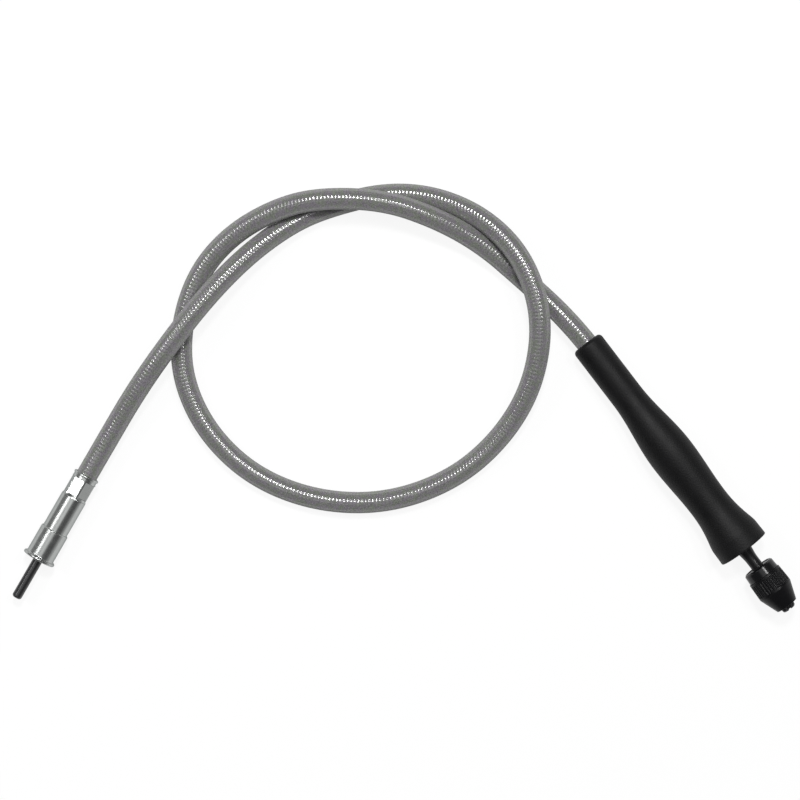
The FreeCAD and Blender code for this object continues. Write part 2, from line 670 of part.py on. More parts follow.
def chuck_thrust_washer():
    """Takes the nut's push on the rear face of the groove."""
    bore = max(BODY_NOSE_REAR_D / 2, jaw_radius(GROOVE_AT)) + RUN_GAP
    return tube(GROOVE_AT, GROOVE_AT + THRUST_THICK, 2 * bore, CAVITY_D - 2 * FREE_GAP)


def jaw_threads():
    """Rings cut in the jaws' backs where the nut takes hold of them."""
    middle = (NUT_AT + NUT_END) / 2
    rings = []
    for i in range(THREAD_COUNT):
        at = middle + (i - (THREAD_COUNT - 1) / 2) * THREAD_PITCH
        outer = jaw_radius(at) + THREAD_DEPTH
        floor = jaw_radius(at) - THREAD_DEPTH
        rings.append(turned([(at - 2 * THREAD_DEPTH, outer), (at, floor), (at + 2 * THREAD_DEPTH, outer)]))
    return rings


def jaw():
    """Slanted rod whose inner side is a wedge with a groove for the tool's shank."""
    reach = JAW_LENGTH
    half = math.pi / JAW_COUNT
    across = reach * math.sin(half)
    up = JAW_APEX + reach * math.cos(half)
    section = Part.makePolygon([V(0, 0, JAW_APEX), V(0, across, up), V(0, 0, up + reach),
                                V(0, -across, up), V(0, 0, JAW_APEX)])
    wedge = Part.Face(section).extrude(V(JAW_TIP, 0, 0))
    bevel_at = JAW_TIP_OFFSET + JAW_D / 2 - JAW_TIP_BEVEL
    front = turned([(0, 0), (0, reach), (JAW_TIP + bevel_at - reach, reach), (JAW_TIP, bevel_at),
                    (JAW_TIP, 0)])
    solid = slanted_rod(JAW_D, JAW_LENGTH, JAW_D).common(wedge).common(front)
    return solid.cut([rod(0, JAW_TIP, SHANK_D)] + jaw_threads())


# The whole object

def drive_end():
    return {"hose_ferrule": hose_ferrule(), "drive_sleeve": drive_sleeve(), "drive_bush": drive_bush(),
            "drive_thrust_washer": drive_thrust_washer(), "drive_spindle": drive_spindle()}


def hose():
    return {"hose_sheath": hose_sheath(), "hose_liner": hose_liner(), "drive_core": drive_core()}


def bearing(end, at):
    """The four nodes of one ball bearing."""
    return {f"{end}_bearing_outer_ring": moved(bearing_outer_ring(), at),
            f"{end}_bearing_inner_ring": moved(bearing_inner_ring(), at),
            f"{end}_bearing_cage": moved(bearing_cage(), at),
            f"{end}_bearing_balls": moved(Part.makeCompound(balls(BALL_D)), at)}


def chuck():
    nodes = {"chuck_body": chuck_body(), "chuck_collar": chuck_collar(), "chuck_sleeve": chuck_sleeve(),
             "jaw_nut": jaw_nut(), "chuck_thrust_washer": chuck_thrust_washer()}
    nodes.update({f"jaw_{i + 1}": around(jaw(), angle) for i, angle in enumerate(jaw_angles())})
    return nodes


def handpiece():
    nodes = {"grip": grip(), "hose_socket": hose_socket(), "housing_tube": housing_tube(),
             "front_cap": front_cap(), "dust_seal": dust_seal(), "retaining_ring": retaining_ring(),
             "shim_washer": shim_washer(), "outer_spacer": outer_spacer(), "inner_spacer": inner_spacer(),
             "spindle": spindle(), "core_coupling": core_coupling()}
    nodes.update(bearing("rear", REAR_BEARING_AT))
    nodes.update(bearing("front", FRONT_BEARING_AT))
    nodes.update({name: moved(shape, CHUCK_AT) for name, shape in chuck().items()})
    return nodes


def write(name, shape, place=None):
    """Puts a shape in its place, writes it and prints what it measures."""
    if place:
        shape.Placement = place.multiply(shape.Placement)
    shape.exportStep(f"parts/{name}.step")
    box = shape.BoundBox
    print(f"{name}: solids {len(shape.Solids)}, valid {shape.isValid()}, volume {shape.Volume:.1f},",
          f"z {box.ZMin:.2f} to {box.ZMax:.2f}")
    return box


def main():
    for name, shape in hose().items():
        write(name, shape)
    rigid = FreeCAD.BoundBox()
    for place, nodes in ((drive_place(), drive_end()), (grip_place(), handpiece())):
        for name, shape in nodes.items():
            rigid.add(write(name, shape, place))
    points = hose_points()
    print("hose radii", [round(r) for r in hose_radii(points)])
    print("hose route", [(round(p.x, 1), round(p.y, 1), round(p.z, 1)) for p in points])
    print("rigid ends", rigid)


main()
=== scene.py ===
"""Flexible drive shaft with a handpiece: its looks, built round the packed CAD frame.

Metres throughout. The fitting's own axis runs from its mouth (0) out to the drive pin, the grip's
from its rear face (0) to the chuck, and the chuck's from the rear of its collar (0) to the jaws.
"""
import json
import math

import bpy
import numpy as np
from bpy.props import FloatProperty, FloatVectorProperty, IntProperty, PointerProperty
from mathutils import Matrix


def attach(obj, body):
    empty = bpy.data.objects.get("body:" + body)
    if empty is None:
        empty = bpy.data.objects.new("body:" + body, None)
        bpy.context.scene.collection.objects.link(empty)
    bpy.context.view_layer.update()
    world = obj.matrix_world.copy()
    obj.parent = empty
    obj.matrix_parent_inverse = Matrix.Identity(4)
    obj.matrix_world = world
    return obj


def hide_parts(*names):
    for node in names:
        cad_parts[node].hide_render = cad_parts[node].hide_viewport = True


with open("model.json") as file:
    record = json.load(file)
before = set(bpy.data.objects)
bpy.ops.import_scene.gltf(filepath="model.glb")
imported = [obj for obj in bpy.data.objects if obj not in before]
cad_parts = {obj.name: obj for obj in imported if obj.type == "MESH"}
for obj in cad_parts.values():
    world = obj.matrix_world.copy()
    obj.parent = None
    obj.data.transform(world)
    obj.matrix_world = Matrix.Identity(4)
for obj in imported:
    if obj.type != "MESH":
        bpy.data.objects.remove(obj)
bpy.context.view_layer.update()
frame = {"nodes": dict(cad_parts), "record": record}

bl_info = {
    "name": "Flexible Shaft",
    "version": (1, 0, 0),
    "blender": (4, 5, 0),
    "location": "View3D > Sidebar > Flexible Shaft",
    "description": "Builds a flexible drive shaft with its fitting, hose, handpiece and chuck",
    "category": "Add Mesh",
}

MM = 0.001
FULL_TURN = 2 * math.pi

# Places along the drive fitting's axis, in millimetres
LIP_END = 1.5
NECK_END = 3.5
HEX_END = 13.8
RUN_OUT_END = 15.8
FERRULE_END = 38.6
SPIGOT_END = 46.6
SLEEVE_END = 58.7
PIN_END = 85.7

# Radii and other sizes of the drive fitting, in millimetres
HOSE_SEAT_R = 6.55
NECK_R = 7.5
SPIGOT_R = 7.2
LAND_DEPTH = 0.2         # how far the hexagon's corners lie under the ferrule's outside
FLANGE_THICK = 1.9
HEX_LEAN = math.radians(-15)

# Sizes of the grip, in millimetres, with places along its axis from its rear face
GRIP_LENGTH = 156.4
SWELL_START = 40
BULGE_AT = 85.2
BULGE_D = 27.9
WAIST_AT = 121.5
SHOULDER_LENGTH = 8.9
SHOULDER_D = 31.9
CAP_AT = 150.2
STEM_FLARE_END = 165.1
STEM_END = 170.4
NOSE_END = 178.7

# Places along the chuck's axis from the rear of its collar, and its radii, in millimetres
COLLAR_END = 6.2
CHUCK_SLEEVE_START = 6.35
RIBS_START = 7.55
RIBS_END = 16.25
RIB_STEP = 0.05          # half the length over which a rib's groove begins or ends
CONE_START = 17.5
NUT_SEAT_AT = 19.45
CHUCK_END = 29
RIB_CUTTER_R = 0.65

# Hose
HOSE_SIDES = 48
HOSE_IN_FERRULE = 2.0 * MM
HOSE_IN_GRIP = 33.8 * MM

# View
SENSOR = 36.0
FIELD_OF_VIEW = math.radians(18.18)
VIEW_CENTRE = (-1.5 * MM, 44.5 * MM)

# Floor
FLOOR_HALF = 6.0         # metres
FLOOR_WHITE = 1.05       # strength of the white that the camera sees
FLOOR_WHITE_SHARE = 0.85
FLOOR_IN_GLOSS = 0.45    # share of that white which reflections see

# Level direction square to the drive fitting, towards the right of the view
SKY_SIDE = (0.864, -0.504, 0)

# Lamps: name, place, width and height in metres, and the setting that holds the power
LAMP_AIM = (0, 0.04, 0)
LAMPS = [
    ("key_lamp", (0.05, 0.84, 1.85), 0.28, 0.28, "key_power"),
    ("side_panel", (-1.25, 0.72, 1.55), 1.5, 1.1, "panel_power"),
    ("left_lamp", (-1.35, 0.64, 1.76), 0.28, 0.28, "left_power"),
    ("right_lamp", (0.77, 0.47, 1.8), 0.3, 0.3, "right_power"),
]


# Settings

def length(name, description, default):
    """A size in metres, given in millimetres."""
    return FloatProperty(name=name, description=description, default=default * MM, min=0, unit="LENGTH",
                         precision=5)


def colour(name, description, default):
    return FloatVectorProperty(name=name, description=description, default=default, min=0, max=1, size=3,
                               subtype="COLOR")


class HoseSettings(bpy.types.PropertyGroup):
    """Sizes of the hose and of the relief on its cover."""
    diameter: length("Diameter", "Outside of the hose", 13.0)
    bump_pitch: length("Bump Pitch", "From one bump of the cover to the next along the hose", 2.2)
    bump_height: length("Bump Height", "Height of the cover's relief", 0.115)
    bump_rows: IntProperty(name="Bump Rows", description="Rows of bumps around the hose", default=22,
                           min=4, max=60)
    twist: FloatProperty(name="Twist", description="How far the cover turns from one end to the other",
                         default=2.2, subtype="ANGLE")


class FittingSettings(bpy.types.PropertyGroup):
    """Sizes of the plated drive fitting."""
    diameter: length("Diameter", "Outside of the ferrule", 16.0)
    across_flats: length("Across Flats", "Between opposite wrench flats", 14.0)
    sleeve_diameter: length("Sleeve Diameter", "Outside of the sleeve", 17.6)
    flange_diameter: length("Flange Diameter", "Outside of the flange", 20.4)
    pin_diameter: length("Pin Diameter", "Pin that the driving machine grips", 6.0)


class GripSettings(bpy.types.PropertyGroup):
    """Sizes of the handpiece."""
    length: length("Length", "From the grip's rear to its front", GRIP_LENGTH)
    rear_diameter: length("Rear Diameter", "Slim rear of the grip", 20.1)
    bulge_diameter: length("Bulge Diameter", "Bulge for the palm", BULGE_D)
    waist_diameter: length("Waist Diameter", "Waist for the fingers", 24.8)
    front_diameter: length("Front Diameter", "Wide front of the grip", 32.3)


class ChuckSettings(bpy.types.PropertyGroup):
    """Sizes of the keyless chuck."""
    sleeve_diameter: length("Sleeve Diameter", "Widest part of the ribbed sleeve", 22.2)
    rib_depth: length("Rib Depth", "Depth of the grooves between the ribs", 0.4)
    ribs: IntProperty(name="Ribs", description="Ribs around the sleeve", default=36, min=12, max=72)


class FinishSettings(bpy.types.PropertyGroup):
    """Colours of the finishes."""
    hose: colour("Hose", "Grey cover of the hose", (0.224, 0.227, 0.213))
    zinc: colour("Zinc", "Plated fitting", (0.505, 0.52, 0.51))
    grip: colour("Grip", "Moulded grip", (0.0052, 0.0052, 0.0057))
    oxide: colour("Oxide", "Blackened shafts", (0.012, 0.012, 0.013))
    chuck: colour("Chuck", "Black chuck", (0.006, 0.006, 0.007))
    floor: colour("Floor", "Pale bench", (0.90, 0.90, 0.90))


class StageSettings(bpy.types.PropertyGroup):
    """Camera, floor and lamps."""
    camera_height: length("Camera Height", "Camera above the bench", 1525)
    key_power: FloatProperty(name="Key Power", description="Power of the small main lamp in watts",
                             default=18, min=0)
    panel_power: FloatProperty(name="Panel Power", description="Power of the wide soft lamp in watts",
                               default=12, min=0)
    left_power: FloatProperty(name="Left Power", description="Power of the small lamp on the left in watts",
                              default=10, min=0)
    right_power: FloatProperty(name="Right Power", description="Power of the lamp on the right in watts",
                               default=8, min=0)
    sky: FloatProperty(name="Sky", description="Brightness of the soft light from all round",
                       default=0.11, min=0)


# Where the two rigid ends lie

def turn_z(angle):
    c, s = math.cos(angle), math.sin(angle)
    return np.array([[c, -s, 0], [s, c, 0], [0, 0, 1]])


def turn_y(angle):
    c, s = math.cos(angle), math.sin(angle)
    return np.array([[c, 0, s], [0, 1, 0], [-s, 0, c]])


DRIVE_TURN = turn_z(math.radians(239.95))
DRIVE_AT = np.array([-191.2, -1.1, 10.2]) * MM
GRIP_TILT = math.atan((SHOULDER_D - BULGE_D) / 2 / (GRIP_LENGTH - SHOULDER_LENGTH - BULGE_AT))
GRIP_LIFT = 0.06 * MM
GRIP_TURN = turn_z(math.radians(-52.76)) @ turn_y(-GRIP_TILT)
GRIP_HEIGHT = (BULGE_D / 2 * math.cos(GRIP_TILT) - BULGE_AT * math.sin(GRIP_TILT)) * MM + GRIP_LIFT
GRIP_AT = np.array([111.4 * MM, 79.1 * MM, GRIP_HEIGHT])
CHUCK_AT = 170.0 * MM

# The hose's way over, under and over itself, round the loop, then under, over and under
ROUTE = [
    (-162, 48, 15.5), (-144.6, 72.7, 20.6), (-120.8, 103.8, 20.6), (-95.7, 130.7, 14.5), (-70, 150.5, 8.2),
    (-47, 161.3, 6.6), (-10, 170.6, 6.6), (22.7, 167.25, 9.7), (52.5, 152.25, 16.4), (73.8, 127.8, 21.2),
    (84.5, 93, 21.2), (79.4, 54.8, 15.5), (61.4, 22.7, 8.5), (32.2, -3.3, 6.6), (-8, -18.1, 6.6),
    (-50.1, -17.5, 6.6), (-89, -3.1, 6.6), (-117.7, 23.2, 6.6), (-133.6, 56.1, 6.6), (-134.7, 89, 6.6),
    (-124.4, 120.7, 8.4), (-104.7, 143.6, 12.6), (-77.8, 159.1, 18), (-51, 166.1, 20.6), (-12, 165, 20.6),
    (20.2, 154.35, 17.2), (48.2, 139.4, 10.3), (73.7, 117.8, 6.6),
]
DRIVE_STRAIGHT = 27.8 * MM
GRIP_STRAIGHT = 19.0 * MM


def on_drive(points):
    """Points of the fitting's own frame in the row frame."""
    return points @ DRIVE_TURN.T + DRIVE_AT


def on_grip(points):
    """Points of the grip's own frame in the row frame."""
    return points @ GRIP_TURN.T + GRIP_AT


def on_chuck(points):
    """Points of the chuck's own frame in the row frame."""
    return on_grip(points + np.array([CHUCK_AT, 0, 0]))


# Outlines

def unit(vector):
    return vector / np.linalg.norm(vector)


def rounded(before, at, after, radius, steps):
    """Arc that rounds a corner: the two tangent directions from its centre, blended along the arc."""
    back, ahead = unit(before - at), unit(after - at)
    half = math.acos(float(np.clip(back @ ahead, -1, 1))) / 2
    sweep = math.pi - 2 * half
    centre = at + unit(back + ahead) * radius / math.sin(half)
    start = at + back * radius / math.tan(half) - centre
    end = at + ahead * radius / math.tan(half) - centre
    t = np.linspace(0, 1, steps)[:, None]
    return centre + (start * np.sin((1 - t) * sweep) + end * np.sin(t * sweep)) / math.sin(sweep)


def eased(start, end, leave, arrive, steps):
    """Cubic Bezier that leaves and ends along the axis, over those shares of its length."""
    span = end[0] - start[0]
    a = start + np.array([leave * span, 0])
    b = end - np.array([arrive * span, 0])
    t = np.linspace(0, 1, steps + 2)[1:-1, None]
    return (1 - t) ** 3 * start + 3 * t * (1 - t) ** 2 * a + 3 * t ** 2 * (1 - t) * b + t ** 3 * end


EDGE_ROUND = 0.12
ARC_STEPS = 7
EASED_STEPS = 40
SUPPORT = 0.10


def profile(corners, closed=True):
    """Outline in metres through corners (along, radius, rounding, eased side) given in millimetres.

    Each corner is rounded by an arc, and a point close to both ends of each straight run keeps the
    run flat under smooth shading. The second array is 1 on the arcs of outer corners and 0 elsewhere.
    """
    at = [np.array(c[:2], float) for c in corners]
    count = len(corners)
    arcs = []
    for i, c in enumerate(corners):
        radius = c[2] if len(c) > 2 and c[2] is not None else EDGE_ROUND
        inner = closed or 0 < i < count - 1
        if radius and inner:
            arcs.append(rounded(at[i - 1], at[i], at[(i + 1) % count], radius, ARC_STEPS))
        else:
            arcs.append(at[i][None])
    points, edges = [], []
    for i, arc in enumerate(arcs):
        points.append(arc)
        edges.append(np.full(len(arc), float(len(arc) > 1)))
        if i == count - 1 and not closed:
            break
        last, following = arc[-1], arcs[(i + 1) % count][0]
        if len(corners[i]) > 3:
            run = eased(last, following, *corners[i][3], EASED_STEPS)
        else:
            span = np.linalg.norm(following - last)
            inset = (following - last) * min(SUPPORT, span / 3) / span
            run = np.array([last + inset, following - inset])
        points.append(run)
        edges.append(np.zeros(len(run)))
    return np.concatenate(points) * MM, np.concatenate(edges)


# Surfaces

def surface(name, grid, close_rows, close_columns, uv, edge=None):
    """Mesh object from a grid of points, (rows, columns, 3), with outward faces and a UV map.

    A closed direction joins its last line to its first. A first or last column whose points all
    coincide becomes one pole. uv is one size larger than the grid in each closed direction.
    """
    rows, columns = grid.shape[:2]
    index = np.arange(rows * columns).reshape(rows, columns)
    poles = [c for c in (0, columns - 1) if np.ptp(grid[:, c], axis=0).max() < 1e-9 and not close_columns]
    for column in poles:
        index[:, column] = index[0, column]
    r = np.arange(rows if close_rows else rows - 1)
    c = np.arange(columns if close_columns else columns - 1)
    r, c = np.meshgrid(r, c, indexing="ij")
    r1, c1 = (r + 1) % rows, (c + 1) % columns
    quads = np.stack([index[r, c], index[r1, c], index[r1, c1], index[r, c1]], -1).reshape(-1, 4)
    places = np.stack([np.stack([r, c], -1), np.stack([r + 1, c], -1), np.stack([r + 1, c + 1], -1),
                       np.stack([r, c + 1], -1)], -2).reshape(-1, 4, 2)
    keep = np.ones(quads.shape, bool)
    keep[:, 1] = quads[:, 1] != quads[:, 0]
    keep[:, 3] = quads[:, 3] != quads[:, 2]
    points = grid.reshape(-1, 3)
    corners = points[quads]
    volume = np.einsum("ij,ij->i", corners[:, 0], np.cross(corners[:, 1], corners[:, 2])).sum()
    volume += np.einsum("ij,ij->i", corners[:, 0], np.cross(corners[:, 2], corners[:, 3])).sum()
    if volume < 0:
        quads, places, keep = quads[:, ::-1], places[:, ::-1], keep[:, ::-1]
    used, loops = np.unique(quads[keep], return_inverse=True)
    totals = keep.sum(1)
    mesh = bpy.data.meshes.new(name)
    mesh.vertices.add(len(used))
    mesh.vertices.foreach_set("co", points[used].ravel())
    mesh.loops.add(len(loops))
    mesh.loops.foreach_set("vertex_index", loops.ravel().astype(np.int32))
    mesh.polygons.add(len(totals))
    mesh.polygons.foreach_set("loop_start", (np.cumsum(totals) - totals).astype(np.int32))
    mesh.polygons.foreach_set("loop_total", totals.astype(np.int32))
    mesh.update(calc_edges=True)
    where = places[keep]
    mesh.uv_layers.new(name="surface").data.foreach_set("uv", uv[where[:, 0], where[:, 1]].ravel())
    if edge is not None:
        shares = np.broadcast_to(edge, (rows, columns)).reshape(-1)[used]
        mesh.attributes.new("edge", "FLOAT", "POINT").data.foreach_set("value", shares.astype(np.float32))
    mesh.validate()
    mesh.shade_smooth()
    piece = bpy.data.objects.new(name, mesh)
    bpy.context.scene.collection.objects.link(piece)
    return piece


def lathe(name, outline, place, segments, closed=True, radius=None):
    """Surface turned about its own axis: at each angle, the outline's radius up and to the side.

    segments is a count of even angles, or the angles themselves. radius may be a function of
    (along, radius, angle) that gives another radius for each angle.
    """
    line, edge = outline
    angles = segments
    if np.isscalar(segments):
        angles = np.linspace(0, FULL_TURN, segments, endpoint=False)
    along, reach = np.broadcast_arrays(line[None, :, 0], line[None, :, 1] + 0 * angles[:, None])
    if radius:
        reach = radius(along, reach, angles[:, None])
    grid = np.stack([along, reach * np.sin(angles)[:, None], reach * np.cos(angles)[:, None]], -1)
    around = np.append(angles, FULL_TURN + angles[0]) / FULL_TURN
    lengths = np.append(line[:, 0], line[0, 0]) if closed else line[:, 0]
    uv = np.stack(np.broadcast_arrays(lengths[None, :], around[:, None]), -1)
    return surface(name, place(grid), True, closed, uv, edge)


def carried(name, path, diameter, sides, twist):
    """Round tube carried along a path: at each point, a circle square to the path.

    The circle's first direction is the upward one, turned by the twist's share of the length. A
    flat disc closes each end.
    """
    ahead = np.gradient(path, axis=0)
    ahead /= np.linalg.norm(ahead, axis=1)[:, None]
    side = np.cross(ahead, [0, 0, 1])
    side /= np.linalg.norm(side, axis=1)[:, None]
    up = np.cross(side, ahead)
    run = np.append(0, np.cumsum(np.linalg.norm(np.diff(path, axis=0), axis=1)))
    angles = np.linspace(0, FULL_TURN, sides, endpoint=False)[:, None] + twist * run / run[-1]
    ring = np.cos(angles)[..., None] * up + np.sin(angles)[..., None] * side
    grid = path + ring * diameter / 2
    grid = np.concatenate([grid[:, :1] * 0 + path[0], grid, grid[:, -1:] * 0 + path[-1]], 1)
    run = np.concatenate([run[:1], run, run[-1:]])
    around = np.linspace(0, 1, sides + 1)
    uv = np.stack(np.broadcast_arrays(run[None, :], around[:, None]), -1)
    return surface(name, grid, True, False, uv)


def finish_piece(piece, body, slot, material, *nodes):
    """Gives a new piece its material and its body, and hides the CAD nodes that it stands for."""
    piece.data.materials.append(material)
    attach(piece, body)
    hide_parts(*nodes)
    return piece


# Node trees

def add(tree, kind, inputs=None, **settings):
    """A node with its settings, and its inputs set to values or linked to sockets."""
    node = tree.nodes.new(kind)
    for name, value in settings.items():
        setattr(node, name, value)
    for name, value in (inputs or {}).items():
        socket = node.inputs[name]
        if isinstance(value, bpy.types.NodeSocket):
            tree.links.new(value, socket)
        else:
            socket.default_value = value
    return node


def maths(tree, operation, first, second=0.0):
    return add(tree, "ShaderNodeMath", {0: first, 1: second}, operation=operation).outputs[0]


def spread(tree, value, low, high, to_low, to_high):
    """Value carried from one range to another and held inside it."""
    node = add(tree, "ShaderNodeMapRange", {"Value": value, "From Min": low, "From Max": high,
                                            "To Min": to_low, "To Max": to_high}, clamp=True)
    return node.outputs["Result"]


def group(name, inputs, outputs):
    """Empty node group with float, vector or colour sockets."""
    tree = bpy.data.node_groups.new(name, "ShaderNodeTree")
    kinds = {"float": "NodeSocketFloat", "vector": "NodeSocketVector", "colour": "NodeSocketColor"}
    for socket, kind in inputs:
        tree.interface.new_socket(name=socket, in_out="INPUT", socket_type=kinds[kind])
    for socket, kind in outputs:
        tree.interface.new_socket(name=socket, in_out="OUTPUT", socket_type=kinds[kind])
    return tree, tree.nodes.new("NodeGroupInput").outputs, tree.nodes.new("NodeGroupOutput").inputs


def grain_group():
    """Fine moulded grain: small even noise for the height and broad soft noise for the tone."""
    tree, ins, outs = group("Fine Grain", [("Vector", "vector"), ("Scale", "float")],
                            [("Height", "float"), ("Tone", "float")])
    fine = add(tree, "ShaderNodeTexNoise", {"Vector": ins["Vector"], "Scale": ins["Scale"], "Detail": 2.0,
                                            "Roughness": 0.6})
    broad = add(tree, "ShaderNodeTexNoise", {"Vector": ins["Vector"], "Scale": 90.0, "Detail": 3.0})
    tree.links.new(fine.outputs["Fac"], outs["Height"])
    tree.links.new(spread(tree, broad.outputs["Fac"], 0.3, 0.7, 0.0, 1.0), outs["Tone"])
    return tree


def turning_group():
    """Fine rings left by turning: noise that changes only along the piece's axis."""
    tree, ins, outs = group("Turning Marks", [("Along", "float"), ("Scale", "float")],
                            [("Height", "float"), ("Tone", "float")])
    fine = add(tree, "ShaderNodeTexNoise", {"W": maths(tree, "MULTIPLY", ins["Along"], ins["Scale"]),
                                            "Scale": 1.0, "Detail": 3.0, "Roughness": 0.7},
               noise_dimensions="1D")
    broad = add(tree, "ShaderNodeTexNoise", {"W": ins["Along"], "Scale": 350.0, "Detail": 2.0},
                noise_dimensions="1D")
    tree.links.new(fine.outputs["Fac"], outs["Height"])
    tree.links.new(spread(tree, broad.outputs["Fac"], 0.3, 0.7, 0.0, 1.0), outs["Tone"])
    return tree


def wear_group():
    """Edge wear: the piece's own edge mark, broken up by noise."""
    tree, ins, outs = group("Edge Wear", [("Edge", "float"), ("Vector", "vector"), ("Amount", "float")],
                            [("Mask", "float")])
    patchy = add(tree, "ShaderNodeTexNoise", {"Vector": ins["Vector"], "Scale": 700.0, "Detail": 4.0})
    share = spread(tree, patchy.outputs["Fac"], 0.42, 0.62, 0.0, 1.0)
    mask = maths(tree, "MULTIPLY", maths(tree, "MULTIPLY", share, ins["Edge"]), ins["Amount"])
    tree.links.new(mask, outs["Mask"])
    return tree


def shared(maker, name):
    """A node group, made the first time that it is asked for."""
    return bpy.data.node_groups.get(name) or maker()


def material(name, base, roughness, **fixed):
    """Material with one Principled shader, whose fixed sockets are set by name."""
    made = bpy.data.materials.new(name)
    made.use_nodes = True
    shader = made.node_tree.nodes["Principled BSDF"]
    shader.inputs["Base Color"].default_value = (*base, 1)
    shader.inputs["Roughness"].default_value = roughness
    for socket, value in fixed.items():
        shader.inputs[socket.replace("_", " ")].default_value = value
    return made, made.node_tree, shader


def mixed(tree, share, first, second):
    """Colour between two colours."""
    node = add(tree, "ShaderNodeMix", data_type="RGBA")
    sockets = node.inputs["Factor"], node.inputs[6], node.inputs[7]
    for socket, value in zip(sockets, (share, first, second)):
        if isinstance(value, bpy.types.NodeSocket):
            tree.links.new(value, socket)
        else:
            socket.default_value = value
    return node.outputs[2]


def tint(base, factor):
    """A colour made lighter or darker, with full opacity."""
    return (*[min(1.0, c * factor) for c in base], 1)


def bump(tree, shader, height, distance):
    """Bump of that many metres on the shader's normal."""
    node = add(tree, "ShaderNodeBump", {"Height": height, "Distance": distance})
    tree.links.new(node.outputs["Normal"], shader.inputs["Normal"])
    return node


def plastic(name, base, roughness, scale, relief, **fixed):
    """Moulded plastic: grain in the normal, and tone and gloss that vary a little."""
    made, tree, shader = material(name, base, roughness, **fixed)
    place = add(tree, "ShaderNodeTexCoord").outputs["Object"]
    grain = add(tree, "ShaderNodeGroup", node_tree=shared(grain_group, "Fine Grain"))
    tree.links.new(place, grain.inputs["Vector"])
    grain.inputs["Scale"].default_value = scale
    tree.links.new(mixed(tree, grain.outputs["Tone"], tint(base, 0.85), tint(base, 1.2)),
                   shader.inputs["Base Color"])
    tree.links.new(spread(tree, grain.outputs["Tone"], 0.0, 1.0, roughness - 0.04, roughness + 0.05),
                   shader.inputs["Roughness"])
    bump(tree, shader, grain.outputs["Height"], relief)
    return made


def metal(name, base, roughness, metallic, marks, worn=None, amount=0.0, **fixed):
    """Turned metal: rings along the axis in gloss and normal, and worn edges where it has them."""
    made, tree, shader = material(name, base, roughness, Metallic=metallic, **fixed)
    along = add(tree, "ShaderNodeSeparateXYZ",
                {"Vector": add(tree, "ShaderNodeUVMap", uv_map="surface").outputs["UV"]}).outputs["X"]
    turned = add(tree, "ShaderNodeGroup", node_tree=shared(turning_group, "Turning Marks"))
    tree.links.new(along, turned.inputs["Along"])
    turned.inputs["Scale"].default_value = marks
    colour_out = mixed(tree, turned.outputs["Tone"], tint(base, 0.98), tint(base, 1.02))
    if worn:
        wear = add(tree, "ShaderNodeGroup", node_tree=shared(wear_group, "Edge Wear"))
        tree.links.new(add(tree, "ShaderNodeAttribute", attribute_name="edge").outputs["Fac"],
                       wear.inputs["Edge"])
        tree.links.new(add(tree, "ShaderNodeTexCoord").outputs["Object"], wear.inputs["Vector"])
        wear.inputs["Amount"].default_value = amount
        colour_out = mixed(tree, wear.outputs["Mask"], colour_out, (*worn, 1))
    tree.links.new(colour_out, shader.inputs["Base Color"])
    tree.links.new(spread(tree, turned.outputs["Tone"], 0.0, 1.0, roughness * 0.94, roughness * 1.08),
                   shader.inputs["Roughness"])
    bump(tree, shader, turned.outputs["Height"], 0.0003 * MM)
    return made


def node_steel(name, base, roughness, metallic):
    """Ground or drawn metal on a CAD node, whose fine scratches lie in Object coordinates."""
    made, tree, shader = material(name, base, roughness, Metallic=metallic)
    place = add(tree, "ShaderNodeTexCoord").outputs["Object"]
    grain = add(tree, "ShaderNodeGroup", node_tree=shared(grain_group, "Fine Grain"))
    tree.links.new(place, grain.inputs["Vector"])
    grain.inputs["Scale"].default_value = 2500.0
    tree.links.new(mixed(tree, grain.outputs["Tone"], tint(base, 0.85), tint(base, 1.1)),
                   shader.inputs["Base Color"])
    tree.links.new(spread(tree, grain.outputs["Height"], 0.3, 0.7, roughness * 0.8, roughness * 1.25),
                   shader.inputs["Roughness"])
    bump(tree, shader, grain.outputs["Height"], 0.003 * MM)
    return made


